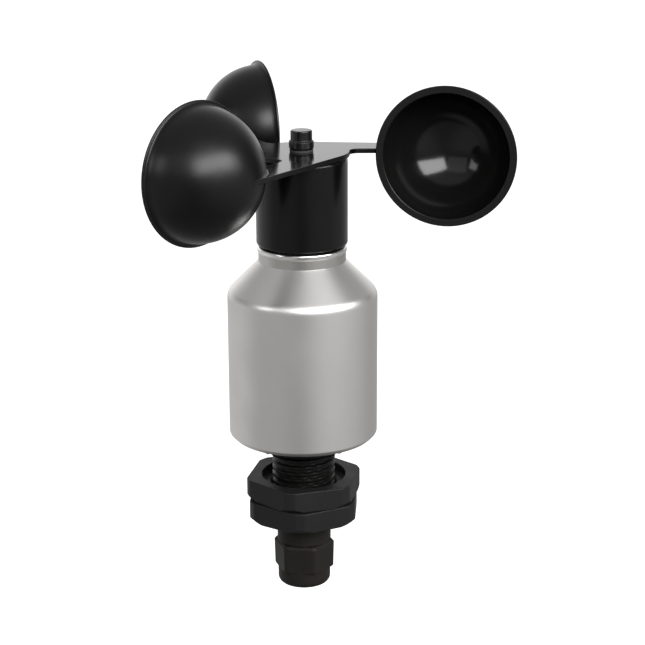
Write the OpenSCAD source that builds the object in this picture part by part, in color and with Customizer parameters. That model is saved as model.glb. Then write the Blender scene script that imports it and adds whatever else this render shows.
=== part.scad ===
// Cup anemometer with a three-cup star, a two-bearing spindle, an optical pulse counter
// and a threaded mounting stem with a cable gland.
// Frame: +Z up along the spindle. The origin is on the stem's axis, in the plane where
// the base collar meets the mounting bracket. Millimetres.

/* [Cup star] */
// Outer radius of each cup's dome
cup_r = 28.5; // [26:0.5:30]
// Outer radius of the flange round each cup's mouth
rim_r = 30.3; // [30:0.1:32]
// Wall thickness of a cup
cup_wall = 1.4; // [1:0.1:2]
// Thickness of the mouth flange
rim_t = 1.2; // [0.8:0.1:2]
// Distance from the spindle axis to a cup's centre
arm_r = 62.6; // [60:0.2:70]
// Height of the cups' centres over the collar plane
cup_z = 134; // [132:0.5:136]
// Direction of the first arm, in degrees from +X
star_angle = -13; // [-60:1:60]
// Thickness of the star's plate
plate_t = 2.1; // [1.5:0.1:3]
// Radius of the plate's middle disc
plate_r = 20.8; // [20.2:0.1:22]
// Slope of an arm's front edge against its radius, in degrees
arm_slope = 12; // [8:1:15]
// Offset of that edge from the radius, where it passes the spindle
arm_offset = 4.3; // [4:0.1:5]
// Radius of the fillet between the middle disc and an arm
arm_fillet = 4; // [2:0.5:5]

/* [Rotor hub] */
// Outer radius of the skirt that hangs over the bearings
skirt_r = 20; // [19.5:0.1:20.2]
// Wall thickness of the skirt
skirt_wall = 2.4; // [2:0.1:3]
// Height of the skirt's lower edge
skirt_z = 93.5; // [93.4:0.1:95]
// Radius of the cap nut at its flange
star_nut_r = 5.4; // [5.2:0.1:7]
// Radius of the cap nut's upper part
star_nut_tip_r = 4.7; // [4:0.1:5]

/* [Housing] */
// Outer radius of the housing
housing_r = 33.1; // [32.5:0.1:34]
// Wall thickness of the housing
housing_wall = 3; // [2.5:0.1:3]
// Radius of the neck
neck_r = 19.2; // [19:0.1:19.4]
// Radius of the polished lip round the neck's top
lip_r = 19.7; // [19.6:0.1:19.8]
// Height where the shoulder cone meets the neck
cone_z = 86; // [85:0.5:87]
// Height of the neck's top face
neck_z = 92.6; // [92.4:0.1:92.8]
// Radius of the round between cone and cylinder
shoulder_round = 5.5; // [2:0.5:7]

/* [Mounting stem] */
// Radius over the stem's thread
stem_r = 14.15; // [14:0.05:14.2]
// Radius of the cable way through the stem
stem_bore_r = 8; // [7:0.5:8.5]
// Length of thread left free for the bracket
free_length = 14; // [10:0.5:15]
// Radius of the base collar
collar_r = 22; // [20:0.5:23]
// Height of the base collar
collar_h = 5.5; // [4:0.5:5.5]
// Width of a mounting nut across its flats
nut_flats = 47.5; // [46:0.5:50]
// Radius to which a mounting nut's corners are turned
nut_corner_r = 26.2; // [25.5:0.1:27]
// Thickness of a mounting nut
nut_t = 9.6; // [8:0.1:10]
// Turn of the upper nut's first corner from +X, in degrees
upper_nut_turn = -43.5; // [-60:0.5:60]
// Turn of the lower nut's first corner from +X, in degrees
lower_nut_turn = -34; // [-60:0.5:60]

/* [Cable gland] */
// Radius of the gland's collar under the stem
gland_r = 12.2; // [11.6:0.1:12.4]
// Width of the gland nut across its flats
gland_flats = 24.5; // [24:0.1:25]
// Radius to which the gland nut's corners are turned
gland_corner_r = 13.8; // [13.5:0.1:14.1]
// Radius of the cable hole in the rubber seal
cable_r = 4; // [2.5:0.25:4.5]

/* [Spindle and bearings] */
// Radius of the spindle
spindle_r = 2.5; // [2.4:0.05:2.5]
// Outer radius of the ball bearings
bearing_r = 8; // [7.8:0.1:8]
// Width of a ball bearing
bearing_w = 5; // [4.5:0.1:5]
// Number of balls in a bearing
ball_count = 7; // [5:1:7]
// Radius of a ball
ball_r = 1.38; // [1.3:0.02:1.38]

/* [Pulse counter] */
// Radius of the slotted disc
disc_r = 20.5; // [18:0.5:20.5]
// Number of slots in the disc
slot_count = 24; // [12:1:30]
// Radius of the circuit board
board_r = 23; // [22:0.5:23.5]

/* [Hidden] */
$fn = 96;

fit = 0.05;                     // radial gap of parts that turn or slide on each other
plate_top = cup_z + 0.3;
plate_bottom = plate_top - plate_t;
nut_gap = 0.2;                  // gap between the two mounting nuts
nut_bevel_r = 24.4;             // end-face circle of a mounting nut
upper_nut_z = -free_length - nut_t;
lower_nut_z = upper_nut_z - nut_gap - nut_t;
stem_z = lower_nut_z - 1;       // lower end of the stem
plug_t = 4;                     // thickness of the base plate
plug_top = collar_h + plug_t;
gasket_t = 0.8;                 // thickness of both flat gaskets
ledge_z = plug_top + gasket_t;  // underside of the ledge inside the housing
ledge_r = 24.5;                 // inner radius of that ledge
bore_r = housing_r - housing_wall;
screw_circle_r = 27.2;          // circle of the base screws
spacer_circle_r = 20;           // circle of the board spacers
shank_r = 15.5;                 // smooth upper part of the stem, inside the housing and collar
flange_r = 17.2;                // flange on the stem inside the housing
screw_r = 1.5;                  // thread radius of the small screws
screw_hole_r = 1.6;             // clearance hole for them
sink_r = 2.8;                   // countersunk head of a base screw
sink_h = 1.3;
board_z = 34.5;
board_t = 1.6;
tube_r = 10.5;                  // outer radius of the bearing tube
tube_top = 124;
tube_bottom = 69;
upper_bearing_z = 117;
lower_bearing_z = 70;
ring_wall = 1.6;                // radial thickness of a bearing ring
spacer_wall = 1.4;              // radial thickness of the tube between the inner rings
ball_circle_r = 5.25;
race_r = ball_r + 0.07;         // radius of the ball groove
spindle_top = 141.5;
spindle_bottom = 44;
disc_z = 52;
disc_t = 0.8;
hub_size = 6;                   // height and outer radius of the disc's hub
gland_nut_z = stem_z - 11.5;    // top of the gland nut
gland_hex_h = 13.1;             // height of its hexagon
gland_dome_h = 7.6;             // height of its dome
gland_thread_r = 10.2;
gland_end_z = gland_nut_z - 10.5;   // lower end of the gland body
gland_seal_out = 6;             // how far the seal stands out below it
seal_r = 7.5;

black = [0.09, 0.09, 0.09];
dark = [0.16, 0.16, 0.16];
satin = [0.72, 0.71, 0.69];
steel = [0.6, 0.61, 0.63];
rubber = [0.2, 0.2, 0.21];

// Points along an arc round [x, y], from angle a0 to a1
function arc(x, y, r, a0, a1, n = 8) =
    [for (i = [0:n]) let (a = a0 + (a1 - a0) * i / n) [x + r * cos(a), y + r * sin(a)]];

function turn(p, a) = [p[0] * cos(a) - p[1] * sin(a), p[0] * sin(a) + p[1] * cos(a)];

// A ring about the Z axis
module ring(inner_r, outer_r, h) {
    difference() {
        cylinder(r = outer_r, h = h);
        translate([0, 0, -1]) cylinder(r = inner_r, h = h + 2);
    }
}

// Three-fold copies round the Z axis, at radius r
module around3(r, turn_deg = 0) {
    for (k = [0:2]) rotate([0, 0, turn_deg + 120 * k]) translate([r, 0, 0]) children();
}

// ---------------------------------------------------------------- cup star

// Outline of one arm with its radius along +X and its cup's dome towards +Y, and of the
// stretch of the middle disc up to the next arm. It starts with the fillet at the arm's
// front edge. Its rear edge is the common tangent of the middle disc and the dome.
function arm_outline() =
    let (
        edge_length = 46, // the front edge ends inside the cup's wall
        rear_a = acos(-(cup_r - plate_r) / arm_r),
        edge_dir = [cos(arm_slope), sin(arm_slope)],
        edge_nrm = [-sin(arm_slope), cos(arm_slope)],
        aside = arm_offset - arm_fillet,
        along = sqrt(pow(plate_r + arm_fillet, 2) - pow(aside, 2)),
        centre = edge_dir * along + edge_nrm * aside,
        front_a = atan2(centre[1], centre[0])
    )
    concat(
        arc(centre[0], centre[1], arm_fillet, front_a + 180, arm_slope + 90, 6),
        [edge_dir * edge_length + edge_nrm * arm_offset],
        [[arm_r + (cup_r - 0.1) * cos(rear_a), (cup_r - 0.1) * sin(rear_a)]],
        arc(0, 0, plate_r, rear_a, front_a + 115, 7)
    );

module star_plate() {
    outline = arm_outline();
    linear_extrude(plate_t)
        polygon([for (k = [0:2]) for (p = outline) turn(p, star_angle + 120 * k)]);
}

module cup_shell() {
    intersection() {
        sphere(r = cup_r);
        translate([-rim_r, 0, -rim_r]) cube([2 * rim_r, rim_r, 2 * rim_r]);
    }
    rotate([-90, 0, 0]) cylinder(r = rim_r, h = rim_t);
}

module cup_star() {
    color(black) translate([0, 0, cup_z]) difference() {
        union() {
            translate([0, 0, plate_bottom - cup_z]) star_plate();
            around3(arm_r, star_angle) cup_shell();
        }
        around3(arm_r, star_angle) sphere(r = cup_r - cup_wall);
        translate([0, 0, -plate_r / 2]) cylinder(r = spindle_r + fit, h = plate_r);
    }
}

module star_washer() {
    washer_r = star_nut_r - 0.3;
    color(rubber) translate([0, 0, plate_top]) ring(spindle_r + fit, washer_r, gasket_t);
}

// Cap nut with a flange, a waist and a blind bore
module star_nut() {
    base = plate_top + gasket_t;
    flange_z = base + 0.9;
    cone_start = base + 3.4;
    cone_end = base + 4.1;
    top = base + 8.3;
    edge = 0.3;
    end_gap = 0.5;
    color(black) difference() {
        rotate_extrude() polygon([
            [0, base], [star_nut_r - 0.4, base], [star_nut_r, flange_z],
            [star_nut_r, cone_start], [star_nut_tip_r, cone_end],
            [star_nut_tip_r, top - edge], [star_nut_tip_r - edge, top], [0, top]
        ]);
        translate([0, 0, base - 1])
            cylinder(r = spindle_r + fit, h = spindle_top + end_gap - base + 1);
    }
}

// ---------------------------------------------------------------- rotor hub

module rotor_skirt() {
    top_round = 2.2;
    foot_round = 1.4;
    inner_r = skirt_r - skirt_wall;
    ceiling_z = plate_bottom - 3.7;
    tip_r = spindle_r + spacer_wall;
    tip_h = 2.6;
    boss_r = 6.5;
    boss_z = upper_bearing_z + bearing_w;
    color(black) difference() {
        rotate_extrude() polygon(concat(
            [[0, boss_z], [tip_r, boss_z], [tip_r, boss_z + tip_h], [boss_r, boss_z + tip_h],
             [boss_r, ceiling_z], [inner_r, ceiling_z], [inner_r, skirt_z]],
            arc(skirt_r - foot_round, skirt_z + foot_round, foot_round, -90, 0, 5),
            arc(skirt_r - top_round, plate_bottom - top_round, top_round, 0, 90, 6),
            [[0, plate_bottom]]
        ));
        translate([0, 0, boss_z - 1]) cylinder(r = spindle_r + fit, h = 20);
    }
}

module spindle() {
    groove_h = 0.8;
    groove_r = spindle_r - 0.3;
    color(steel) difference() {
        translate([0, 0, spindle_bottom])
            cylinder(r = spindle_r, h = spindle_top - spindle_bottom);
        translate([0, 0, lower_bearing_z - groove_h]) ring(groove_r, spindle_r + 1, groove_h);
    }
}

// ---------------------------------------------------------------- bearings

module ball_groove() {
    rotate_extrude() translate([ball_circle_r, bearing_w / 2]) circle(r = race_r, $fn = 48);
}

module inner_ring(z) {
    color(steel) translate([0, 0, z]) difference() {
        ring(spindle_r + fit / 2, spindle_r + ring_wall, bearing_w);
        ball_groove();
    }
}

module outer_ring(z) {
    color(steel) translate([0, 0, z]) difference() {
        ring(bearing_r - ring_wall, bearing_r, bearing_w);
        ball_groove();
    }
}

module at_balls() {
    for (k = [0:ball_count - 1]) rotate([0, 0, 360 / ball_count * k])
        translate([ball_circle_r, 0, bearing_w / 2]) children();
}

module balls(z) {
    color("silver") translate([0, 0, z]) at_balls() sphere(r = ball_r, $fn = 48);
}

// A ring with one round pocket for each ball
module ball_cage(z) {
    height = 3.6;
    wall = 1;
    pocket_r = ball_r + 0.06;
    inner_r = ball_circle_r - wall / 2;
    color("tan") translate([0, 0, z]) difference() {
        translate([0, 0, (bearing_w - height) / 2]) ring(inner_r, inner_r + wall, height);
        at_balls() translate([-2 * wall, 0, 0]) rotate([0, 90, 0])
            cylinder(r = pocket_r, h = 4 * wall, $fn = 48);
    }
}

module upper_inner_ring() { inner_ring(upper_bearing_z); }
module upper_outer_ring() { outer_ring(upper_bearing_z); }
module upper_balls() { balls(upper_bearing_z); }
module upper_ball_cage() { ball_cage(upper_bearing_z); }
module lower_inner_ring() { inner_ring(lower_bearing_z); }
module lower_outer_ring() { outer_ring(lower_bearing_z); }
module lower_balls() { balls(lower_bearing_z); }
module lower_ball_cage() { ball_cage(lower_bearing_z); }

module bearing_spacer() {
    start = lower_bearing_z + bearing_w;
    color("silver") translate([0, 0, start])
        ring(spindle_r + fit, spindle_r + spacer_wall, upper_bearing_z - start);
}

// An open retaining ring with its gap towards +X
module circlip(inner_r, outer_r, h) {
    gap = 1.8;
    difference() {
        ring(inner_r, outer_r, h);
        translate([0, -gap / 2, -1]) cube([outer_r + 1, gap, h + 2]);
    }
}

module spindle_circlip() {
    thickness = 0.7;
    color(steel) translate([0, 0, lower_bearing_z - thickness - fit])
        circlip(spindle_r - 0.28, spindle_r + spacer_wall, thickness);
}

module tube_circlip() {
    color(steel) translate([0, 0, upper_bearing_z + bearing_w + 0.3])
        circlip(bearing_r - 1.1, bearing_r + 0.38, 0.9);
}

module bearing_tube() {
    seat_r = bearing_r + fit / 2;
    shoulder_r = bearing_r - 0.8;
    shoulder_z = lower_bearing_z + bearing_w;
    rest_r = 13;                // flange that rests on the neck
    rest_top = neck_z + 2.5;
    groove_z = upper_bearing_z + bearing_w + 0.25;
    color(satin) difference() {
        rotate_extrude() polygon([
            [shoulder_r, shoulder_z], [seat_r, shoulder_z], [seat_r, tube_bottom],
            [tube_r, tube_bottom], [tube_r, neck_z], [rest_r, neck_z], [rest_r, rest_top],
            [tube_r, rest_top], [tube_r, tube_top], [seat_r, tube_top],
            [seat_r, upper_bearing_z], [shoulder_r, upper_bearing_z]
        ]);
        translate([0, 0, groove_z]) cylinder(r = bearing_r + 0.4, h = 1);
    }
}

// ---------------------------------------------------------------- pulse counter

module slotted_disc() {
    slot_start = 15.5;
    slot_length = 3.5;
    slot_width = 2;
    color(dark) translate([0, 0, disc_z]) difference() {
        ring(spindle_r + fit, disc_r, disc_t);
        for (k = [0:slot_count - 1]) rotate([0, 0, 360 / slot_count * k])
            translate([slot_start, -slot_width / 2, -1])
                cube([slot_length, slot_width, disc_t + 2]);
    }
}

module disc_hub() {
    color("goldenrod") translate([0, 0, disc_z - hub_size]) difference() {
        ring(spindle_r + fit / 2, hub_size, hub_size);
        translate([0, 0, hub_size / 2]) rotate([0, 90, 0])
            cylinder(r = screw_r + fit, h = hub_size + 2);
    }
}

module hub_set_screw() {
    length = hub_size - spindle_r - 0.1;
    socket_t = 1.4;
    color(steel) translate([spindle_r + 0.1, 0, disc_z - hub_size / 2]) rotate([0, 90, 0])
        difference() {
            cylinder(r = screw_r, h = length);
            translate([0, 0, length - socket_t]) cylinder(r = 0.87, h = socket_t + 1, $fn = 6);
        }
}

// Fork sensor whose slot lets the rim of the disc through
module light_barrier() {
    start = 13.5;
    length = 8.9;
    width = 11;
    back_t = 0.9;
    cap_t = 4;
    slot_gap = 1.8;
    foot_z = board_z + board_t;
    slot_z = disc_z - slot_gap;
    slot_h = disc_t + 2 * slot_gap;
    color(black) difference() {
        translate([start, -width / 2, foot_z])
            cube([length, width, slot_z + slot_h + cap_t - foot_z]);
        translate([start - 1, -width / 2 - 1, slot_z])
            cube([length - back_t + 1, width + 2, slot_h]);
    }
}

module circuit_board() {
    color("darkgreen") translate([0, 0, board_z]) difference() {
        cylinder(r = board_r, h = board_t);
        around3(spacer_circle_r, 60) translate([0, 0, -1])
            cylinder(r = screw_hole_r, h = board_t + 2);
    }
}

// Block with three poles, each with a screw on top and a wire's way in from the side
module terminal_block() {
    size = [8, 15, 10];
    pole = size[1] / 3;
    screw_t = 3;
    entry = [3, 3, 3.5];
    start = -hub_size - 1 - size[0];
    color("seagreen") translate([start, -size[1] / 2, board_z + board_t]) difference() {
        cube(size);
        for (k = [0:2]) translate([size[0] / 2, pole * (k + 0.5), size[2] - screw_t])
            cylinder(r = screw_hole_r, h = screw_t + 1);
        for (k = [0:2]) translate([-1, pole * (k + 0.5) - entry[1] / 2, 1.5])
            cube([entry[0] + 1, entry[1], entry[2]]);
    }
}

module board_spacers() {
    hex_r = 2.5;
    hole_t = 9.5;
    height = board_z - plug_top;
    color("gold") around3(spacer_circle_r, 60) translate([0, 0, plug_top]) difference() {
        cylinder(r = hex_r, h = height, $fn = 6);
        translate([0, 0, height - hole_t]) cylinder(r = screw_r + fit, h = hole_t + 1);
    }
}

module board_screws() {
    length = 7;
    head_r = 2.75;
    head_h = 1.9;
    color(steel) around3(spacer_circle_r, 60) translate([0, 0, board_z + board_t]) difference() {
        union() {
            translate([0, 0, -length]) cylinder(r = screw_r, h = length);
            cylinder(r = head_r, h = head_h);
        }
        translate([0, 0, head_h - 1]) cylinder(r = 1.15, h = 2, $fn = 6);
    }
}

// ---------------------------------------------------------------- housing

module housing() {
    bevel = 2;
    lip_round = 1.4;
    ledge_h = 6;
    floor_z = neck_z - 12.6;
    corner_z = cone_z - (housing_r - neck_r);
    inner_cone_r = neck_r + cone_z - housing_wall * sqrt(2);
    color(satin) difference() {
        rotate_extrude() polygon(concat(
            [[bore_r - fit, collar_h], [housing_r - bevel, collar_h],
             [housing_r, collar_h + bevel]],
            arc(housing_r - shoulder_round, corner_z - shoulder_round * tan(22.5),
                shoulder_round, 0, 45, 8),
            [[neck_r, cone_z]],
            arc(lip_r - lip_round, neck_z - lip_round, lip_round, -50, 90, 8),
            [[tube_r + fit / 2, neck_z], [tube_r + fit / 2, floor_z],
             [inner_cone_r - floor_z, floor_z], [bore_r, inner_cone_r - bore_r],
             [bore_r, ledge_z + ledge_h], [ledge_r, ledge_z + ledge_h], [ledge_r, ledge_z],
             [bore_r - fit, ledge_z]]
        ));
        around3(screw_circle_r) translate([0, 0, ledge_z - 1])
            cylinder(r = screw_r + fit, h = ledge_h);
    }
}

module base_plate() {
    color(satin) translate([0, 0, collar_h]) difference() {
        cylinder(r = bore_r - 2 * fit, h = plug_t);
        translate([0, 0, -1]) cylinder(r = shank_r + fit, h = plug_t + 2);
        around3(screw_circle_r) {
            translate([0, 0, -1]) cylinder(r = screw_hole_r, h = plug_t + 2);
            translate([0, 0, -0.1])
                cylinder(r1 = sink_r + 0.2, r2 = screw_hole_r, h = sink_h + 0.2);
        }
    }
}

module base_screws() {
    color(steel) around3(screw_circle_r) translate([0, 0, collar_h]) difference() {
        union() {
            cylinder(r1 = sink_r, r2 = screw_r, h = sink_h);
            cylinder(r = screw_r, h = plug_t + gasket_t + 4);
        }
        translate([0, 0, -1]) cylinder(r = 1.1, h = 1.9, $fn = 6);
    }
}

module base_gasket() {
    color(rubber) translate([0, 0, plug_top]) difference() {
        ring(ledge_r, bore_r - 3 * fit, gasket_t);
        around3(screw_circle_r) translate([0, 0, -1])
            cylinder(r = screw_hole_r + 0.1, h = gasket_t + 2);
    }
}

// ---------------------------------------------------------------- mounting stem

// Plain cylinders stand for the thread, with a relief groove under the bracket's stretch
module threaded_stem() {
    relief_h = 0.8;
    relief_r = 13.2;
    flange_h = 3;
    color(black) difference() {
        union() {
            translate([0, 0, ledge_z]) cylinder(r = flange_r, h = flange_h);
            cylinder(r = shank_r, h = ledge_z);
            translate([0, 0, -free_length]) cylinder(r = stem_r, h = free_length);
            translate([0, 0, -free_length - relief_h]) cylinder(r = relief_r, h = relief_h);
            translate([0, 0, stem_z])
                cylinder(r = stem_r, h = -free_length - relief_h - stem_z);
        }
        translate([0, 0, stem_z - 1]) cylinder(r = stem_bore_r, h = ledge_z + flange_h - stem_z + 2);
    }
}

module stem_gasket() {
    color(rubber) translate([0, 0, plug_top]) ring(shank_r + fit, flange_r, gasket_t);
}

// Collar with four notches for a spanner
module base_collar() {
    bevel = 1.2;
    notch_w = 3;
    notch_t = 1.6;
    color(black) difference() {
        rotate_extrude() polygon([
            [shank_r + fit, 0], [collar_r - bevel, 0], [collar_r, bevel],
            [collar_r, collar_h], [shank_r + fit, collar_h]
        ]);
        for (k = [0:3]) rotate([0, 0, 45 + 90 * k])
            translate([collar_r - notch_t, -notch_w / 2, -1])
                cube([notch_t + 1, notch_w, collar_h - 1]);
    }
}

// Hexagon nut with turned corners and a round recess in its upper face
module mounting_nut(z, turn_deg) {
    recess_r = 19;
    recess_t = 3.5;
    edge = 0.4;
    color(dark) translate([0, 0, z]) rotate([0, 0, turn_deg]) difference() {
        intersection() {
            cylinder(r = nut_flats / sqrt(3), h = nut_t, $fn = 6);
            rotate_extrude() polygon([
                [0, 0], [nut_bevel_r, 0], [nut_corner_r, nut_corner_r - nut_bevel_r],
                [nut_corner_r, nut_t - edge], [nut_corner_r - edge, nut_t], [0, nut_t]
            ]);
        }
        translate([0, 0, -1]) cylinder(r = stem_r + fit, h = nut_t + 2);
        translate([0, 0, nut_t - recess_t]) cylinder(r = recess_r, h = recess_t + 1);
    }
}

module upper_nut() { mounting_nut(upper_nut_z, upper_nut_turn); }
module lower_nut() { mounting_nut(lower_nut_z, lower_nut_turn); }

// ---------------------------------------------------------------- cable gland

// Collar with a plug up into the stem, and a threaded end below that takes the seal
module gland_body() {
    plug_h = 11;
    collar_z = gland_nut_z + 0.2;
    way_r = 5.2;
    seat_t = 6;
    color(black) difference() {
        union() {
            translate([0, 0, stem_z]) cylinder(r = stem_bore_r - fit, h = plug_h);
            translate([0, 0, collar_z]) cylinder(r = gland_r, h = stem_z - collar_z);
            translate([0, 0, gland_end_z])
                cylinder(r = gland_thread_r, h = collar_z - gland_end_z + 0.3);
        }
        translate([0, 0, gland_end_z - 1]) cylinder(r = way_r, h = stem_z + plug_h - gland_end_z + 2);
        translate([0, 0, gland_end_z - 1.5]) cylinder(r = seal_r + 0.1, h = seat_t + 1.5);
    }
}

module gland_seal() {
    color(rubber) translate([0, 0, gland_end_z - gland_seal_out]) ring(cable_r, seal_r, 12);
}

// Ring of fingers that the gland nut squeezes onto the seal
module gland_claw() {
    outer_r = 9.3;
    height = gland_seal_out - 0.1;
    slit = 1;
    uncut = 1.4;
    color(dark) translate([0, 0, gland_end_z - gland_seal_out]) difference() {
        ring(seal_r + fit, outer_r, height);
        for (k = [0:7]) rotate([0, 0, 45 * k])
            translate([seal_r - 1.5, -slit / 2, -1]) cube([5, slit, height + 1 - uncut]);
    }
}

// Hexagon that ends in a dome, screwed over the gland body's lower thread
module gland_nut() {
    dome_z = gland_nut_z - gland_hex_h;
    end_z = dome_z - gland_dome_h;
    dome_r = 12.4;
    waist_r = 12;
    waist_t = 1.6;
    end_r = 11.9;
    end_round = 4.3;
    edge = 1;
    claw_r = 9.4;
    claw_t = 3.7;
    thread_t = 2.2;
    turn_deg = -9.5;
    color(black) difference() {
        union() {
            intersection() {
                translate([0, 0, dome_z]) rotate([0, 0, turn_deg])
                    cylinder(r = gland_flats / sqrt(3), h = gland_hex_h, $fn = 6);
                translate([0, 0, dome_z]) rotate_extrude() polygon([
                    [0, 0], [gland_corner_r, 0], [gland_corner_r, gland_hex_h - edge],
                    [gland_corner_r - edge, gland_hex_h], [0, gland_hex_h]
                ]);
            }
            rotate_extrude() polygon(concat(
                [[0, dome_z], [dome_r, dome_z], [waist_r, dome_z - waist_t],
                 [end_r, end_z + end_round]],
                arc(end_r - end_round, end_z + end_round, end_round, 0, -90, 6),
                [[0, end_z]]
            ));
        }
        translate([0, 0, dome_z + thread_t]) cylinder(r = gland_thread_r + fit, h = 30);
        translate([0, 0, dome_z - claw_t]) cylinder(r = claw_r, h = 30);
        translate([0, 0, end_z - 1]) cylinder(r = 6, h = 20);
    }
}

cup_star();
star_nut();
star_washer();
rotor_skirt();
spindle();
upper_inner_ring();
upper_outer_ring();
upper_balls();
upper_ball_cage();
lower_inner_ring();
lower_outer_ring();
lower_balls();
lower_ball_cage();
bearing_spacer();
spindle_circlip();
tube_circlip();
bearing_tube();
slotted_disc();
disc_hub();
hub_set_screw();
light_barrier();
circuit_board();
terminal_block();
board_spacers();
board_screws();
housing();
base_plate();
base_screws();
base_gasket();
threaded_stem();
stem_gasket();
base_collar();
upper_nut();
lower_nut();
gland_body();
gland_seal();
gland_claw();
gland_nut();
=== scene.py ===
"""Looks of a cup anemometer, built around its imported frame. Lengths are in metres."""

import math

import bmesh
import bpy
from mathutils import Matrix, Vector


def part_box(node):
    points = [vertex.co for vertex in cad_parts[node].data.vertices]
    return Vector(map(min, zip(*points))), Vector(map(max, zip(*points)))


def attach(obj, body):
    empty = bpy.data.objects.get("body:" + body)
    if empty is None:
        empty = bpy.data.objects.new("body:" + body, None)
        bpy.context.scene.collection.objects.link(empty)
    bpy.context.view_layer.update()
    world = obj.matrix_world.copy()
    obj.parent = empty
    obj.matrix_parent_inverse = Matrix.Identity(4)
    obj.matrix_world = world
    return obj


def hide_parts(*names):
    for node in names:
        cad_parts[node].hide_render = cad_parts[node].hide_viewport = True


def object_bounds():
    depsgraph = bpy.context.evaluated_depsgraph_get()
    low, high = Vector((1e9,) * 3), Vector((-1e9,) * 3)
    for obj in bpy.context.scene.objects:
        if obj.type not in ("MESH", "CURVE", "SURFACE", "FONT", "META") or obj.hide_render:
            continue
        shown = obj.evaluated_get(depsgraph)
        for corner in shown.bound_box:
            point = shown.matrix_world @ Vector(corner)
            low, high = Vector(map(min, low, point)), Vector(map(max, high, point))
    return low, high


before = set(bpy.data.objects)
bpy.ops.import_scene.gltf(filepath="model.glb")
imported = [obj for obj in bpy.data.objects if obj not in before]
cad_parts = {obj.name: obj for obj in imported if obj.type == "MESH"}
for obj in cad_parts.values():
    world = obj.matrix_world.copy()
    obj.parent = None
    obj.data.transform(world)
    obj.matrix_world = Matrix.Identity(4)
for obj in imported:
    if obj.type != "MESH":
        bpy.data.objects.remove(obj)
cad_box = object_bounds()

MM = 0.001

# ---------------------------------------------------------------- sizes

star_low, star_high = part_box("cup_star")
CUP_Z = (star_low.z + star_high.z) / 2
RIM_R = (star_high.z - star_low.z) / 2 - 0.06 * MM
RIM_T = 1.2 * MM
CUP_R = 28.46 * MM
CUP_WALL = 1.4 * MM
ARM_R = 62.6 * MM
STAR_ANGLE = math.radians(-13)
PLATE_R = 20.8 * MM
PLATE_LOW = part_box("rotor_skirt")[1].z
PLATE_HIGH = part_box("star_washer")[0].z
ARM_SLOPE = math.radians(12)
ARM_OFFSET = 4.3 * MM
ARM_FILLET = 4 * MM
# degrees round a cup's centre, from the arm's radius, over which a dome meets the plate
FILLET_START = 101
FILLET_END = 159.5

SPINDLE_BORE = 2.55 * MM

# ---------------------------------------------------------------- mesh helpers


def arc(x, y, radius, start, end, steps):
    """Points on an arc round (x, y); the angles are in degrees."""
    angles = [math.radians(start + (end - start) * i / steps) for i in range(steps + 1)]
    return [(x + radius * math.cos(a), y + radius * math.sin(a)) for a in angles]


def rounded(corners, steps=5):
    """A closed outline from corners (x, y, radius). A corner with a radius becomes an arc.

    A support point just past each end of the arc keeps the flats beside it flat in shading.
    """
    points = []
    for i, (x, y, radius) in enumerate(corners):
        here = Vector((x, y))
        if radius <= 0:
            points.append((x, y))
            continue
        before = Vector(corners[i - 1][:2]) - here
        after = Vector(corners[(i + 1) % len(corners)][:2]) - here
        half = before.angle(after) / 2
        if half > math.radians(89):
            points += [(x, y)] * (steps + 3)
            continue
        shorter = min(before.length, after.length)
        reach = min(radius / math.tan(half), 0.45 * shorter)
        centre = here + (before.normalized() + after.normalized()).normalized() * (
            reach / math.cos(half)
        )
        start = here + before.normalized() * reach - centre
        end = here + after.normalized() * reach - centre
        sweep = start.angle(end)
        points.append(tuple(here + before.normalized() * min(1.5 * reach, 0.495 * before.length)))
        for step in range(steps + 1):
            t = step / steps
            swing = (start * math.sin((1 - t) * sweep) + end * math.sin(t * sweep)) / math.sin(sweep)
            points.append(tuple(centre + swing))
        points.append(tuple(here + after.normalized() * min(1.5 * reach, 0.495 * after.length)))
    return points


def loft_into(bm, profile_at, steps):
    """Adds a solid of closed (radius, z) outlines, one for each direction round the Z axis."""
    rings = []
    for k in range(steps):
        angle = 2 * math.pi * k / steps
        c, s = math.cos(angle), math.sin(angle)
        rings.append([bm.verts.new((r * c, r * s, z)) for r, z in profile_at(angle)])
    for k, ring in enumerate(rings):
        following = rings[(k + 1) % steps]
        for i in range(len(ring)):
            j = (i + 1) % len(ring)
            bm.faces.new((ring[i], following[i], following[j], ring[j]))
    verts = [v for ring in rings for v in ring]
    bmesh.ops.remove_doubles(bm, verts=verts, dist=1e-7)


def finished(name, bm, crease=35):
    """The object made of bm, shaded smooth but for edges over crease degrees."""
    loose = [v for v in bm.verts if not v.link_faces]
    bmesh.ops.delete(bm, geom=loose, context="VERTS")
    bmesh.ops.recalc_face_normals(bm, faces=bm.faces)
    mesh = bpy.data.meshes.new(name)
    bm.to_mesh(mesh)
    bm.free()
    mesh.shade_smooth()
    mesh.set_sharp_from_angle(angle=math.radians(crease))
    piece = bpy.data.objects.new(name, mesh)
    bpy.context.scene.collection.objects.link(piece)
    return piece


def loft(name, profile_at, steps=180):
    """A piece swept round the Z axis, with the section profile_at(angle)."""
    bm = bmesh.new()
    loft_into(bm, profile_at, steps)
    return finished(name, bm)


def revolve(name, profile, steps=180):
    """A round piece with one section all the way round."""
    return loft(name, lambda angle: profile, steps)


def smooth_min(a, b, blend):
    """The smaller of two lengths, with the change-over rounded off."""
    h = max(blend - abs(a - b), 0) / blend
    return min(a, b) - h * h * blend / 4


def hexagon_r(angle, flats, first_corner):
    """Distance from the centre to a hexagon's side, in the direction angle."""
    from_flat = (angle - first_corner) % (math.pi / 3) - math.pi / 6
    return flats / 2 / math.cos(from_flat)


# ---------------------------------------------------------------- materials


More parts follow.
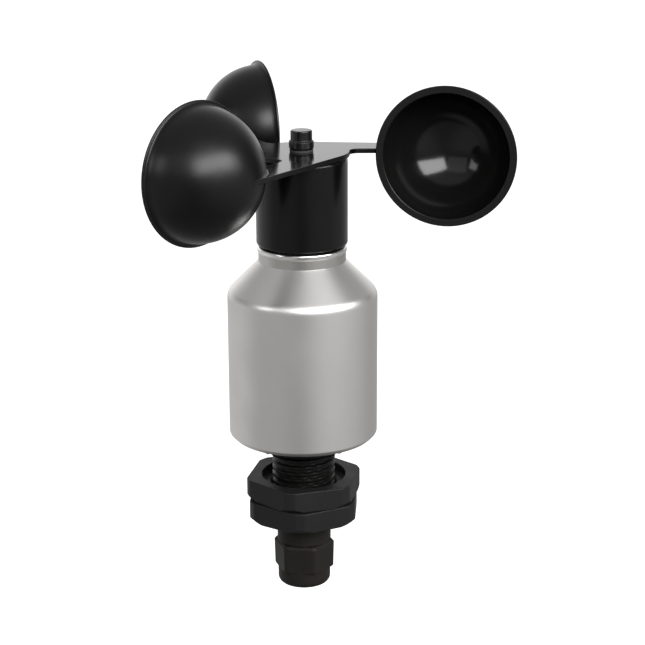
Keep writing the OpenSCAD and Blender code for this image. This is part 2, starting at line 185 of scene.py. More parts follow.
def nodes_of(name):
    """A new material's tree, its Principled shader and its object coordinates."""
    made = bpy.data.materials.new(name)
    made.use_nodes = True
    tree = made.node_tree
    place = tree.nodes.new("ShaderNodeTexCoord").outputs["Object"]
    return made, tree, tree.nodes["Principled BSDF"], place


def noise(tree, place, size, detail=2.0, stretch=None):
    """Noise with features of about that size in metres, from 0 to 1."""
    if stretch:
        mapping = tree.nodes.new("ShaderNodeMapping")
        mapping.inputs["Scale"].default_value = stretch
        tree.links.new(place, mapping.inputs["Vector"])
        place = mapping.outputs["Vector"]
    texture = tree.nodes.new("ShaderNodeTexNoise")
    texture.inputs["Scale"].default_value = 1 / size
    texture.inputs["Detail"].default_value = detail
    tree.links.new(place, texture.inputs["Vector"])
    return texture.outputs["Fac"]


def remap(tree, value, low, high, to_low, to_high):
    """value with the stretch low to high spread over to_low to to_high, clamped."""
    node = tree.nodes.new("ShaderNodeMapRange")
    node.inputs["From Min"].default_value = low
    node.inputs["From Max"].default_value = high
    node.inputs["To Min"].default_value = to_low
    node.inputs["To Max"].default_value = to_high
    tree.links.new(value, node.inputs["Value"])
    return node.outputs["Result"]


def math_node(tree, operation, a, b):
    """A sum, product or the like of a and b; each is a number or a socket."""
    node = tree.nodes.new("ShaderNodeMath")
    node.operation = operation
    for socket, value in zip(node.inputs, (a, b)):
        if isinstance(value, (int, float)):
            socket.default_value = value
        else:
            tree.links.new(value, socket)
    return node.outputs[0]


def mix_colour(tree, factor, a, b):
    """Colour a turning into colour b with factor; each is a tuple or a socket."""
    node = tree.nodes.new("ShaderNodeMix")
    node.data_type = "RGBA"
    tree.links.new(factor, node.inputs["Factor"])
    for socket, value in ((node.inputs[6], a), (node.inputs[7], b)):
        if isinstance(value, tuple):
            socket.default_value = (*value, 1)
        else:
            tree.links.new(value, socket)
    return node.outputs[2]


def bump(tree, height, depth, below=None):
    """Surface relief of that depth in metres, on top of the relief below."""
    node = tree.nodes.new("ShaderNodeBump")
    node.inputs["Distance"].default_value = depth
    tree.links.new(height, node.inputs["Height"])
    if below:
        tree.links.new(below, node.inputs["Normal"])
    return node.outputs["Normal"]


def edge_mask(tree, amount=1.0):
    """Near 1 on convex edges and 0 elsewhere."""
    point = tree.nodes.new("ShaderNodeNewGeometry").outputs["Pointiness"]
    return remap(tree, point, 0.53, 0.62, 0.0, amount)


def plastic(name, colour, worn, roughness, spread=0.05, grain=0.25 * MM, depth=0.004 * MM,
            peel=0.0, scuffs=0.5, gloss=0.5):
    """Moulded plastic: fine grain, a slow ripple, faint scuffs and paler edges."""
    made, tree, shader, place = nodes_of(name)
    cloud = noise(tree, place, 14 * MM, 4)
    fine = noise(tree, place, grain, 3)
    scratch = noise(tree, place, 1.1 * MM, 5, stretch=(1.0, 1.0, 0.16))
    scuff = remap(tree, scratch, 0.60, 0.74, 0.0, scuffs)
    edge = edge_mask(tree, 0.6)
    wear = math_node(tree, "MAXIMUM", edge, math_node(tree, "MULTIPLY", scuff, 0.25))
    mottled = mix_colour(tree, cloud, colour, tuple(c * 1.35 for c in colour))
    tree.links.new(mix_colour(tree, wear, mottled, worn), shader.inputs["Base Color"])
    slow = remap(tree, cloud, 0.3, 0.7, roughness - spread, roughness + spread)
    rough = math_node(tree, "ADD", slow, math_node(tree, "MULTIPLY", scuff, 0.12))
    tree.links.new(rough, shader.inputs["Roughness"])
    normal = bump(tree, fine, depth)
    if peel:
        normal = bump(tree, noise(tree, place, 5 * MM, 1), peel, below=normal)
    tree.links.new(normal, shader.inputs["Normal"])
    shader.inputs["IOR"].default_value = 1.5
    shader.inputs["Specular IOR Level"].default_value = gloss
    return made


def metal(name, colour, dull, roughness, spread=0.05, grain=0.15 * MM, depth=0.002 * MM,
          stretch=None, stain=18 * MM):
    """Bare or anodised metal: fine grain, slow stains and brighter edges."""
    made, tree, shader, place = nodes_of(name)
    cloud = noise(tree, place, stain, 5)
    fine = noise(tree, place, grain, 2, stretch=stretch)
    tone = remap(tree, cloud, 0.35, 0.65, 0.0, 1.0)
    stained = mix_colour(tree, tone, colour, dull)
    bright = tuple(min(1.0, c * 1.15) for c in colour)
    tree.links.new(mix_colour(tree, edge_mask(tree, 0.7), stained, bright), shader.inputs["Base Color"])
    slow = remap(tree, cloud, 0.3, 0.7, roughness - spread, roughness + spread)
    grainy = remap(tree, fine, 0.3, 0.7, -0.02, 0.02)
    tree.links.new(math_node(tree, "ADD", slow, grainy), shader.inputs["Roughness"])
    tree.links.new(bump(tree, fine, depth), shader.inputs["Normal"])
    shader.inputs["Metallic"].default_value = 1.0
    return made


MATERIALS = {
    "cup": plastic("moulded_cup_black", (0.0009, 0.0009, 0.0009), (0.007, 0.007, 0.007), 0.34,
                   spread=0.03, grain=0.35 * MM, depth=0.0015 * MM, peel=0.006 * MM, scuffs=0.35,
                   gloss=0.28),
    "plate": plastic("plate_black", (0.0024, 0.0024, 0.0024), (0.010, 0.010, 0.010), 0.12,
                     spread=0.03, grain=0.4 * MM, depth=0.0008 * MM, peel=0.003 * MM, scuffs=0.4,
                     gloss=0.55),
    "cup_inside": plastic("cup_inside_black", (0.0036, 0.0036, 0.0035), (0.008, 0.008, 0.008), 0.14,
                          spread=0.02, grain=0.35 * MM, depth=0.0008 * MM, peel=0.005 * MM,
                          scuffs=0.25, gloss=0.30),
    "skirt": plastic("skirt_black", (0.0010, 0.0010, 0.0009), (0.007, 0.007, 0.007), 0.24,
                     spread=0.03, grain=0.35 * MM, depth=0.0015 * MM, peel=0.004 * MM, scuffs=0.3,
                     gloss=0.26),
    "knob": plastic("knob_black", (0.0035, 0.0035, 0.0036), (0.012, 0.012, 0.012), 0.2,
                    spread=0.04, grain=0.3 * MM, depth=0.001 * MM, gloss=0.4),
    "stem": plastic("stem_black", (0.0024, 0.0023, 0.0021), (0.010, 0.010, 0.009), 0.42,
                    grain=0.3 * MM, depth=0.004 * MM, gloss=0.20),
    "nut": plastic("nut_black", (0.0066, 0.0065, 0.0065), (0.020, 0.020, 0.020), 0.52,
                   grain=0.3 * MM, depth=0.010 * MM, scuffs=0.8, gloss=0.20),
    "gland": plastic("gland_black", (0.0072, 0.0060, 0.0048), (0.020, 0.018, 0.016), 0.56,
                     grain=0.25 * MM, depth=0.006 * MM, scuffs=0.6, gloss=0.18),
    "rubber": plastic("seal_rubber", (0.012, 0.012, 0.012), (0.022, 0.022, 0.022), 0.75,
                      grain=0.2 * MM, depth=0.02 * MM),
    "nylon": plastic("cage_nylon", (0.60, 0.52, 0.36), (0.70, 0.64, 0.50), 0.45),
    "disc": plastic("disc_black", (0.020, 0.020, 0.021), (0.04, 0.04, 0.04), 0.40),
    "sensor": plastic("sensor_black", (0.014, 0.014, 0.015), (0.03, 0.03, 0.03), 0.38),
    "board": plastic("board_green", (0.012, 0.090, 0.040), (0.05, 0.16, 0.08), 0.30),
    "terminal": plastic("terminal_green", (0.06, 0.24, 0.12), (0.12, 0.34, 0.20), 0.40),
    "aluminium": metal("blasted_aluminium", (0.67, 0.655, 0.635), (0.62, 0.61, 0.60), 0.39,
                       spread=0.03, grain=0.22 * MM, depth=0.004 * MM, stain=26 * MM),
    "machined": metal("machined_aluminium", (0.78, 0.775, 0.765), (0.70, 0.695, 0.685), 0.20,
                      grain=0.25 * MM, depth=0.003 * MM, stretch=(1.0, 1.0, 9.0)),
    # turned grain and lower roughness are the neck's own finish; its colour, darker than the blasted
    # shell, is painted shade from the skirt above
    "turned": metal("turned_aluminium_painted_shade", (0.50, 0.485, 0.46), (0.46, 0.45, 0.43), 0.30,
                    grain=0.25 * MM, depth=0.003 * MM, stretch=(1.0, 1.0, 9.0)),
    "steel": metal("ground_steel", (0.58, 0.58, 0.59), (0.50, 0.50, 0.51), 0.18,
                   grain=0.2 * MM, stretch=(1.0, 1.0, 8.0)),
    "dark_steel": metal("spring_steel", (0.18, 0.18, 0.19), (0.12, 0.12, 0.13), 0.38),
    "screw": metal("screw_steel", (0.55, 0.55, 0.55), (0.46, 0.46, 0.46), 0.26),
    "brass": metal("turned_brass", (0.78, 0.58, 0.28), (0.66, 0.47, 0.22), 0.24,
                   grain=0.2 * MM, stretch=(1.0, 1.0, 8.0)),
}


def dress(piece, key, body, slot, *nodes):
    """Gives a new piece its material and body, and hides the CAD nodes it stands for. The slot is not
    used.
    """
    piece.data.materials.append(MATERIALS[key])
    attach(piece, body)
    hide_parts(*nodes)


CARRIED_OVER = {
    "star_washer": "rubber",
    "spindle": "steel",
    "upper_inner_ring": "steel",
    "upper_outer_ring": "steel",
    "upper_balls": "steel",
    "upper_ball_cage": "nylon",
    "lower_inner_ring": "steel",
    "lower_outer_ring": "steel",
    "lower_balls": "steel",
    "lower_ball_cage": "nylon",
    "bearing_spacer": "machined",
    "spindle_circlip": "dark_steel",
    "tube_circlip": "dark_steel",
    "bearing_tube": "machined",
    "slotted_disc": "disc",
    "disc_hub": "brass",
    "hub_set_screw": "screw",
    "light_barrier": "sensor",
    "circuit_board": "board",
    "terminal_block": "terminal",
    "board_spacers": "brass",
    "board_screws": "screw",
    "base_plate": "machined",
    "base_screws": "screw",
    "base_gasket": "rubber",
    "stem_gasket": "rubber",
    "gland_seal": "rubber",
    "gland_claw": "gland",
}


def dress_carried_over():
    """The CAD nodes whose shape is right keep it and get a material."""
    for node, key in CARRIED_OVER.items():
        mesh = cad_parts[node].data
        mesh.materials.clear()
        mesh.materials.append(MATERIALS[key])


# ---------------------------------------------------------------- rotor


def cup_profile():
    """Section of a cup from pole to mouth, with its mouth's face at height 0."""
    inner_r = CUP_R - CUP_WALL
    inside = arc(0, 0, inner_r, 90, 1.5, 44)
    outside = arc(0, 0, CUP_R, 8.5, 90, 44)
    lip = rounded([
        (inner_r, RIM_T, 0),
        (inner_r, 0, 0.45 * MM),
        (RIM_R, 0, 0.35 * MM),
        (RIM_R, 0.95 * MM, 0.35 * MM),
        (RIM_R - 0.9 * MM, 1.15 * MM, 0),
    ])
    start, end = Vector(lip[-1]), Vector(outside[0])
    bend = Vector((CUP_R + 0.1 * MM, 1.3 * MM))
    sweep = [
        tuple(start * (1 - t) ** 2 + bend * 2 * t * (1 - t) + end * t * t)
        for t in (0.15, 0.3, 0.45, 0.6, 0.75, 0.9)
    ]
    return inside + lip[1:] + sweep + outside


def arm_outline():
    """Outline of one arm, its radius along +X, and of the disc's edge up to the next arm."""
    rear = math.acos(-(CUP_R - PLATE_R) / ARM_R)
    along = Vector((math.cos(ARM_SLOPE), math.sin(ARM_SLOPE)))
    aside = Vector((-math.sin(ARM_SLOPE), math.cos(ARM_SLOPE)))
    offset = ARM_OFFSET - ARM_FILLET
    reach = math.sqrt((PLATE_R + ARM_FILLET) ** 2 - offset**2)
    centre = along * reach + aside * offset
    front = math.degrees(math.atan2(centre.y, centre.x))
    slope = math.degrees(ARM_SLOPE)
    points = arc(centre.x, centre.y, ARM_FILLET, front + 180, slope + 90, 10)
    # the front edge runs on to the middle of the cup's wall, and follows it to the rear edge
    wall_r = CUP_R - CUP_WALL / 2
    edge = aside * ARM_OFFSET - Vector((ARM_R, 0))
    run = -edge.dot(along) - math.sqrt(edge.dot(along) ** 2 - edge.dot(edge) + wall_r**2)
    meet = edge + along * run
    meet_angle = math.degrees(math.atan2(meet.y, meet.x))
    points += arc(ARM_R, 0, wall_r, meet_angle, math.degrees(rear) + 3, 12)
    points += arc(ARM_R, 0, CUP_R - 0.1 * MM, math.degrees(rear), math.degrees(rear), 1)[:1]
    points += arc(0, 0, PLATE_R, math.degrees(rear), front + 114, 12)
    return points


def plate_into(bm):
    """The star's plate with its edges rounded over."""
    verts = []
    for k in range(3):
        turn = Matrix.Rotation(STAR_ANGLE + k * 2 * math.pi / 3, 3, "Z")
        verts += [bm.verts.new(turn @ Vector((x, y, PLATE_LOW))) for x, y in arm_outline()]
    bottom = bm.faces.new(verts)
    made = bmesh.ops.extrude_face_region(bm, geom=[bottom])["geom"]
    top = [g for g in made if isinstance(g, bmesh.types.BMVert)]
    for vert in top:
        vert.co.z = PLATE_HIGH
    rims = [e for e in bm.edges if abs(e.verts[0].co.z - e.verts[1].co.z) < 1e-9]
    bmesh.ops.bevel(bm, geom=rims, offset=0.45 * MM, segments=4, profile=0.5, affect="EDGES",
                    clamp_overlap=True)


def fillet_into(bm, plane, up):
    """A soft fillet between a cup's dome and one face of the plate, tapering out at its ends."""
    steps = 40
    largest = 0.9 * MM
    root = 0.9 * MM
    sections = []
    for i in range(steps + 1):
        t = i / steps
        angle = math.radians(FILLET_START + (FILLET_END - FILLET_START) * t)
        size = largest * (0.12 + 0.88 * min(1.0, 5 * t, 5 * (1 - t)))
        height = plane + up * size
        ball_r = math.sqrt((CUP_R + size) ** 2 - height**2)
        toward = math.degrees(math.atan2(-height, -ball_r))
        down = -90 * up
        if toward - down > 180:
            toward -= 360
        if down - toward > 180:
            toward += 360
        section = arc(ball_r, height, size, down, toward, 6)
        section.append((ball_r - root - size, plane + up * size * 0.4))
        section.append((ball_r - root - size, plane - up * 0.5 * MM))
        section.append((ball_r, plane - up * 0.3 * MM))
        c, s = math.cos(angle), math.sin(angle)
        sections.append([bm.verts.new((ARM_R + r * c, r * s, z)) for r, z in section])
    for a, b in zip(sections, sections[1:]):
        for i in range(len(a)):
            j = (i + 1) % len(a)
            bm.faces.new((a[i], b[i], b[j], a[j]))
    bm.faces.new(sections[0])
    bm.faces.new(list(reversed(sections[-1])))


def add_into(bm, part, matrix):
    """Adds the mesh of part, moved by matrix, to bm, and frees part."""
    mesh = bpy.data.meshes.new("part")
    bmesh.ops.recalc_face_normals(part, faces=part.faces)
    part.to_mesh(mesh)
    part.free()
    mesh.transform(matrix)
    bm.from_mesh(mesh)
    bpy.data.meshes.remove(mesh)


def cup_star():
    """The star is one moulding: a plate, three cups, and fillets where they meet."""
    bm = bmesh.new()
    plate = bmesh.new()
    plate_into(plate)
    add_into(bm, plate, Matrix.Identity(4))
    profile = cup_profile()
    for k in range(3):
        turn = Matrix.Rotation(STAR_ANGLE + k * 2 * math.pi / 3, 4, "Z")
        lift = Matrix.Translation((0, 0, CUP_Z))
        cup = bmesh.new()
        loft_into(cup, lambda angle: profile, 180)
        over = Matrix.Translation((ARM_R, 0, 0)) @ Matrix.Rotation(-math.pi / 2, 4, "X")
        add_into(bm, cup, lift @ turn @ over)
        for plane, up in ((PLATE_HIGH - CUP_Z, 1), (PLATE_LOW - CUP_Z, -1)):
            fillet = bmesh.new()
            fillet_into(fillet, plane, up)
            add_into(bm, fillet, lift @ turn)
    star = finished("cup_star_moulding", bm)
    weigh = star.modifiers.new("flat_faces_lead", "WEIGHTED_NORMAL")
    weigh.keep_sharp = True
    dress(star, "cup", "rotor", "cup_plastic", "cup_star")
    star.data.materials.append(MATERIALS["cup_inside"])
    star.data.materials.append(MATERIALS["plate"])
    hollow_r = CUP_R - CUP_WALL + 0.1 * MM
    cups = []
    for k in range(3):
        turn = Matrix.Rotation(STAR_ANGLE + k * 2 * math.pi / 3, 3, "Z")
        centre = turn @ Vector((ARM_R, 0, 0)) + Vector((0, 0, CUP_Z))
        cups.append((centre, turn @ Vector((0, 1, 0))))
    for face in star.data.polygons:
        centre, axis = min(cups, key=lambda cup: (face.center - cup[0]).length)
        away = face.center - centre
        on_mouth = abs(away.dot(axis)) < 0.05 * MM and away.length < RIM_R
        if away.length < hollow_r or on_mouth:
            face.material_index = 1
        elif abs(face.normal.z) > 0.999 and len(face.vertices) > 6:
            face.material_index = 2


def star_nut():
    """The cap nut: a flange, a waist and a crowned top, with a blind bore."""
    low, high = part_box("star_nut")
    base, top = low.z, high.z
    flange_r = high.x
    tip_r = 4.7 * MM
    bore_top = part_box("spindle")[1].z + 0.5 * MM
    profile = rounded([
        (0, bore_top, 0),
        (SPINDLE_BORE, bore_top, 0),
        (SPINDLE_BORE, base, 0.2 * MM),
        (flange_r - 0.4 * MM, base, 0.1 * MM),
        (flange_r, base + 0.9 * MM, 0.4 * MM),
        (flange_r, base + 3.4 * MM, 0.3 * MM),
        (tip_r, base + 4.1 * MM, 0.3 * MM),
        (tip_r, top, 0.55 * MM),
        (0, top, 0),
    ])
    dress(revolve("star_cap_nut", profile, 96), "knob", "rotor", "knob_plastic", "star_nut")


def rotor_skirt():
    """The skirt hangs from the plate over the bearing tube."""
    low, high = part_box("rotor_skirt")
    outer_r = high.x
    inner_r = outer_r - 2.4 * MM
    ceiling = high.z - 3.7 * MM
    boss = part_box("upper_inner_ring")[1].z
    nose_r = 3.9 * MM
    nose_top = boss + 2.6 * MM
    boss_r = 6.5 * MM
    profile = rounded([
        (SPINDLE_BORE, boss, 0),
        (nose_r, boss, 0.2 * MM),
        (nose_r, nose_top, 0),
        (boss_r, nose_top, 0.3 * MM),
        (boss_r, ceiling, 0.5 * MM),
        (inner_r, ceiling, 0.8 * MM),
        (inner_r, low.z, 0.5 * MM),
        (outer_r, low.z, 1.4 * MM),
        (outer_r, high.z, 2.2 * MM),
        (SPINDLE_BORE, high.z, 0),
    ], steps=8)
    dress(revolve("bearing_skirt", profile), "skirt", "rotor", "skirt_plastic", "rotor_skirt")


# ---------------------------------------------------------------- housing


def housing():
    """The blasted shell, with a turned neck and a polished lip round it. The neck's darker colour is
    painted shade under the skirt.
    """
    low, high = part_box("housing")
    outer_r, top = high.x, high.z
    neck_r = 19.2 * MM
    lip_r = 19.7 * MM
    cone_z = 86 * MM
    corner_z = cone_z - (outer_r - neck_r)
    wall = 3 * MM
    bore_r = outer_r - wall
    tube_r = 10.525 * MM
    floor_z = top - 12.6 * MM
    inner_cone = neck_r + cone_z - wall * math.sqrt(2)
    ledge_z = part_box("base_gasket")[1].z
    ledge_r = 24.5 * MM
    ledge_top = ledge_z + 6 * MM
    profile = rounded([
        (bore_r - 0.05 * MM, low.z, 0.2 * MM),
        (outer_r - 2 * MM, low.z, 0.6 * MM),
        (outer_r, low.z + 2 * MM, 0.9 * MM),
        (outer_r, corner_z, 5.5 * MM),
        (neck_r, cone_z, 0.08 * MM),
        (neck_r, top - 2.6 * MM, 0.15 * MM),
        (lip_r - 0.05 * MM, top - 2.0 * MM, 0.5 * MM),
        (lip_r, top, 1.5 * MM),
        (tube_r, top, 0.1 * MM),
        (tube_r, floor_z, 0),
        (inner_cone - floor_z, floor_z, 0),
        (bore_r, inner_cone - bore_r, 0),
        (bore_r, ledge_top, 0),
        (ledge_r, ledge_top, 0),
        (ledge_r, ledge_z, 0),
        (bore_r - 0.05 * MM, ledge_z, 0),
    ], steps=8)
    shell = revolve("housing_shell", profile, 240)
    dress(shell, "aluminium", "housing", "housing_aluminium", "housing")
    shell.data.materials.append(MATERIALS["machined"])
    # the neck's turned material is darker in colour: painted shade under the skirt's overhang
    shell.data.materials.append(MATERIALS["turned"])
    for face in shell.data.polygons:
        if face.center.z > top - 2.5 * MM:
            face.material_index = 1
        elif face.center.z > cone_z + 0.01 * MM:
            face.material_index = 2


# ---------------------------------------------------------------- stem and nuts


def thread_r(z, angle, major, minor, pitch):
    """Radius of a moulded thread with rounded crests and roots."""
    phase = (z / pitch - angle / (2 * math.pi)) % 1.0
    rise = 0.5 + 0.5 * math.cos(2 * math.pi * phase)
    shaped = min(1.0, max(0.0, 1.5 * rise - 0.25))
    return minor + (major - minor) * shaped * shaped * (3 - 2 * shaped)


def threaded_stem():
    """The stem: a moulded thread, a shank through the collar and a flange inside."""
    low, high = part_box("threaded_stem")
    crest = 14.15 * MM
    root = 12.9 * MM
    pitch = 3 * MM
    shank_r = 15.5 * MM
    flange_r = high.x
    bore_r = 8 * MM
    flange_z = high.z - 3 * MM
    count = 190
    heights = [low.z * (1 - i / count) for i in range(count + 1)]

    def section(angle):
        outer = []
        for z in heights:
            ends = min(1.0, (z - low.z) / (1.2 * MM), -z / (0.8 * MM))
            r = thread_r(z, angle, crest, root, pitch)
            outer.append((min(r, root + (crest - root) * max(0.0, ends)), z))
        shoulder = [(shank_r, 0), (shank_r, flange_z), (flange_r, flange_z), (flange_r, high.z)]
        return [(bore_r, low.z)] + outer + shoulder + [(bore_r, high.z)]

    dress(loft("stem_with_thread", section, 180), "stem", "housing", "stem_plastic", "threaded_stem")


def base_collar():
    """The collar between housing and bracket, with four notches for a pin spanner."""
    low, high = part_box("base_collar")
    outer_r = high.x
    bore_r = 15.55 * MM
    notch_half = 1.5 * MM
    notch_depth = 1.6 * MM
    soft = 0.3 * MM

    def section(angle):
        from_notch = angle % (math.pi / 2) - math.pi / 4
        across = abs(math.sin(from_notch)) * outer_r
        inside = min(1.0, max(0.0, (notch_half + soft - across) / soft))
        cut = notch_depth * inside * inside * (3 - 2 * inside)
        r = outer_r - cut
        return rounded([
            (bore_r, low.z, 0.15 * MM),
            (r - 1.2 * MM, low.z, 0.3 * MM),
            (r, low.z + 1.2 * MM, 0.4 * MM),
            (r, high.z - 1.0 * MM, 0.15 * MM),
            (outer_r, high.z - 0.69 * MM, 0.1 * MM),
            (outer_r, high.z, 0.25 * MM),
            (bore_r, high.z, 0),
        ])

    dress(loft("spanner_collar", section, 360), "stem", "housing", "stem_plastic", "base_collar")


def mounting_nut(node, body, turn):
    """A hexagon nut with turned corners, a bevel below and a round recess in its top."""
    low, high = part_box(node)
    flats = 47.5 * MM
    turned_r = 26.2 * MM
    bevel_r = 24.4 * MM
    recess_r = 19 * MM
    recess_z = high.z - 3.5 * MM
    bore_r = 14.2 * MM
    first = math.radians(turn)

    def section(angle):
        r = smooth_min(hexagon_r(angle, flats, first), turned_r, 0.35 * MM)
        bevel = max(0.35 * MM, r - bevel_r)
        return rounded([
            (bore_r, low.z, 0),
            (bore_r + 0.8 * MM, low.z, 0),
            (r - bevel, low.z, 0.3 * MM),
            (r, low.z + bevel, 0.35 * MM),
            (r, high.z, 0.45 * MM),
            (recess_r, high.z, 0.3 * MM),
            (recess_r - 0.4 * MM, recess_z, 0.4 * MM),
            (bore_r + 1.0 * MM, recess_z, 0.2 * MM),
            (bore_r, recess_z - 1.0 * MM, 0),
        ], steps=4)

    piece = loft(node + "_hexagon", section, 360)
    dress(piece, "nut", body, "nut_plastic", node)


# ---------------------------------------------------------------- cable gland


def gland_body():
    """The gland's collar under the stem, with the threads above and below it."""
    low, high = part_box("gland_body")
    collar_r = high.x
    collar_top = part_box("threaded_stem")[0].z
    collar_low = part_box("gland_nut")[1].z + 0.2 * MM
    cable_r = 5.2 * MM
    seal_r = 7.6 * MM
    seal_seat = low.z + 5.7 * MM
    thread = 10.2 * MM
    plug_r = 7.95 * MM
    profile = rounded([
        (cable_r, seal_seat, 0),
        (seal_r, seal_seat, 0),
        (seal_r, low.z, 0.2 * MM),
        (thread, low.z, 0.5 * MM),
        (thread, collar_low, 0),
        (collar_r, collar_low, 0.5 * MM),
        (collar_r, collar_top, 0.5 * MM),
        (plug_r, collar_top, 0),
        (plug_r, high.z, 0.4 * MM),
        (cable_r, high.z, 0.3 * MM),
    ])
    dress(revolve("gland_collar", profile), "gland", "housing", "gland_plastic", "gland_body")


def gland_nut():
    """The gland's hexagon nut, which ends in a dome with the cable's hole."""
    low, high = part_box("gland_nut")
    flats = 24.5 * MM
    turned_r = 13.8 * MM
    dome_z = high.z - 13.1 * MM
    thread_z = dome_z + 2.2 * MM
    claw_z = dome_z - 3.7 * MM
    thread = 10.25 * MM
    claw_r = 9.4 * MM
    hole_r = 6 * MM
    end_r = 11.9 * MM
    waist_r = 12 * MM
    first = math.radians(-9.5)

    def section(angle):
        r = smooth_min(hexagon_r(angle, flats, first), turned_r, 0.3 * MM)
        return rounded([
            (thread, thread_z, 0),
            (claw_r, thread_z, 0),
            (claw_r, claw_z, 0),
            (hole_r, claw_z, 0),
            (hole_r, low.z, 0.5 * MM),
            (end_r, low.z, 4.3 * MM),
            ((end_r + waist_r) / 2, dome_z - 1.4 * MM, 0.5 * MM),
            (waist_r, dome_z - 0.2 * MM, 0.2 * MM),
            (r - 0.3 * MM, dome_z + 0.3 * MM, 0.4 * MM),
            (r, high.z - 1.0 * MM, 0.5 * MM),
            (r - 1.0 * MM, high.z, 0.3 * MM),
            (thread, high.z, 0.2 * MM),
        ], steps=5)

    dress(loft("gland_cap_nut", section, 360), "gland", "gland_nut", "gland_plastic", "gland_nut")


# ---------------------------------------------------------------- studio

ROOM_GLOW = 0.13
CEILING_GLOW = 0.52
SWEEP_GLOW = 1.25
SIDE_GLOW = 0.2
FLOOR_GLOW = 0.18
# azimuth, cosines where the patch starts and where it is full, radiance
FLOOR_PATCHES = (
    (-37, 0.30, 0.95, 0.55),
    (-118, 0.45, 0.90, 0.28),
    (122, 0.50, 0.95, 0.36),
    (55, 0.60, 0.95, 0.20),
)


def camera():
    """A long lens a little above the cups, looking slightly down."""
    data = bpy.data.cameras.new("camera")
    data.sensor_width = 36
    data.lens = 99.49
    data.clip_start, data.clip_end = 0.01, 100
    view = bpy.data.objects.new("camera", data)
    look = Matrix.Rotation(math.radians(-0.666), 4, "Z")
    tilt = Matrix.Rotation(math.radians(90 - 16.76), 4, "X")
    roll = Matrix.Rotation(math.radians(-0.214), 4, "Z")
    view.matrix_world = Matrix.Translation((0, -0.7555, 0.2846)) @ look @ tilt @ roll
    bpy.context.scene.collection.objects.link(view)
    bpy.context.scene.camera = view


def toward(azimuth, elevation):
    """Unit vector; azimuth 0 is behind the object, 90 to its right, 180 towards the front."""
    a, e = math.radians(azimuth), math.radians(elevation)
    return Vector((math.sin(a) * math.cos(e), math.cos(a) * math.cos(e), math.sin(e)))


def softbox(name, azimuth, elevation, distance, width, height, radiance):
    """A rectangular studio light that faces the object; angles in degrees, sizes in metres."""
    data = bpy.data.lights.new(name, "AREA")
    data.shape = "RECTANGLE"
    data.size, data.size_y = width, height
    data.energy = radiance * math.pi * width * height
    light = bpy.data.objects.new(name, data)
    direction = toward(azimuth, elevation)
    light.location = Vector((0, 0, 0.08)) + direction * distance
    light.rotation_euler = direction.to_track_quat("Z", "Y").to_euler()
    light.visible_camera = False
    bpy.context.scene.collection.objects.link(light)


def smooth_ramp(tree, value, low, high, top=1.0):
    """Smooth rise from 0 at low to top at high; low may be the larger of the two."""
    node = tree.nodes.new("ShaderNodeMapRange")
    node.interpolation_type = "SMOOTHSTEP"
    node.inputs["From Min"].default_value = low
    node.inputs["From Max"].default_value = high
    node.inputs["To Max"].default_value = top
    tree.links.new(value, node.inputs["Value"])
    return node.outputs["Result"]


def glow(tree, direction, azimuth, start, full, radiance):
    """A soft patch of light in the studio round one azimuth, over all heights."""
    dot = tree.nodes.new("ShaderNodeVectorMath")
    dot.operation = "DOT_PRODUCT"
    dot.inputs[1].default_value = toward(azimuth, 0)
    tree.links.new(direction, dot.inputs[0])
    return smooth_ramp(tree, dot.outputs["Value"], start, full, radiance)


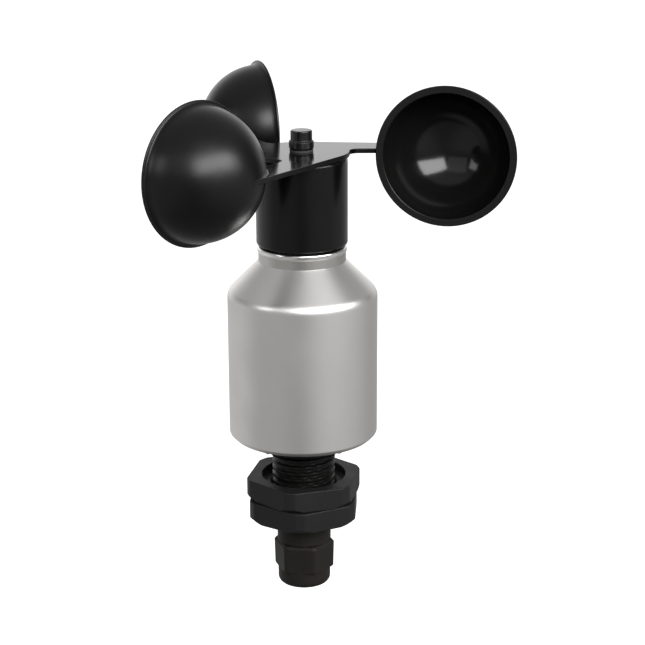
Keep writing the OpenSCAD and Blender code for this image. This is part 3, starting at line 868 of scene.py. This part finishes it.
def studio_world():
    """A pale floor that is lit unevenly, a white sweep behind and a darker room in front."""
    world = bpy.data.worlds.new("studio")
    bpy.context.scene.world = world
    world.use_nodes = True
    tree = world.node_tree
    tree.nodes.clear()
    direction = tree.nodes.new("ShaderNodeTexCoord").outputs["Generated"]
    parts = tree.nodes.new("ShaderNodeSeparateXYZ")
    tree.links.new(direction, parts.inputs[0])
    height = parts.outputs["Z"]
    ground = FLOOR_GLOW
    for azimuth, start, full, radiance in FLOOR_PATCHES:
        ground = math_node(tree, "ADD", ground, glow(tree, direction, azimuth, start, full, radiance))
    ground = math_node(tree, "MULTIPLY", ground, smooth_ramp(tree, height, 0.3, -0.15))
    sweep = glow(tree, direction, -3, 0.55, 0.93, SWEEP_GLOW)
    side = glow(tree, direction, -52, 0.45, 0.90, SIDE_GLOW)
    sweep = math_node(tree, "ADD", sweep, side)
    sweep = math_node(tree, "MULTIPLY", sweep, smooth_ramp(tree, height, 0.80, 0.2))
    sweep = math_node(tree, "MULTIPLY", sweep, smooth_ramp(tree, height, -0.25, 0.1))
    ceiling = smooth_ramp(tree, height, 0.2, 0.8, CEILING_GLOW)
    total = math_node(tree, "ADD", math_node(tree, "ADD", ground, sweep), ceiling)
    light = tree.nodes.new("ShaderNodeBackground")
    tree.links.new(math_node(tree, "ADD", total, ROOM_GLOW), light.inputs["Strength"])
    seen = tree.nodes.new("ShaderNodeBackground")
    seen.inputs["Color"].default_value = (1, 1, 1, 1)
    mix = tree.nodes.new("ShaderNodeMixShader")
    tree.links.new(tree.nodes.new("ShaderNodeLightPath").outputs["Is Camera Ray"], mix.inputs[0])
    tree.links.new(light.outputs[0], mix.inputs[1])
    tree.links.new(seen.outputs[0], mix.inputs[2])
    output = tree.nodes.new("ShaderNodeOutputWorld")
    tree.links.new(mix.outputs[0], output.inputs[0])


def floor():
    """A plain white floor well below the object, which a bracket holds."""
    made, _, shader, _ = nodes_of("studio_floor")
    shader.inputs["Base Color"].default_value = (0.85, 0.85, 0.85, 1)
    shader.inputs["Roughness"].default_value = 0.9
    shader.inputs["Emission Color"].default_value = (1, 1, 1, 1)
    shader.inputs["Emission Strength"].default_value = 0.8
    bm = bmesh.new()
    bmesh.ops.create_grid(bm, x_segments=1, y_segments=1, size=20)
    ground = finished("studio_floor", bm)
    ground.location.z = cad_box[0].z - 0.75
    ground.data.materials.append(made)
    ground.visible_glossy = False
    ground.visible_diffuse = False


# ---------------------------------------------------------------- the whole

camera()
cup_star()
star_nut()
rotor_skirt()
housing()
threaded_stem()
base_collar()
mounting_nut("upper_nut", "upper_nut", -43.5)
mounting_nut("lower_nut", "lower_nut", -34)
gland_body()
gland_nut()
dress_carried_over()
studio_world()
softbox("key_light", 147, 29, 1.15, 1.35, 0.48, 13)
softbox("wing_light", 108, 22, 1.15, 0.30, 0.44, 5)
softbox("gap_light", 205, 27, 1.15, 0.75, 0.55, 0.8)
softbox("small_light", -120, 21, 1.1, 0.30, 0.34, 4)
floor()
bpy.context.scene.view_settings.view_transform = "Standard"
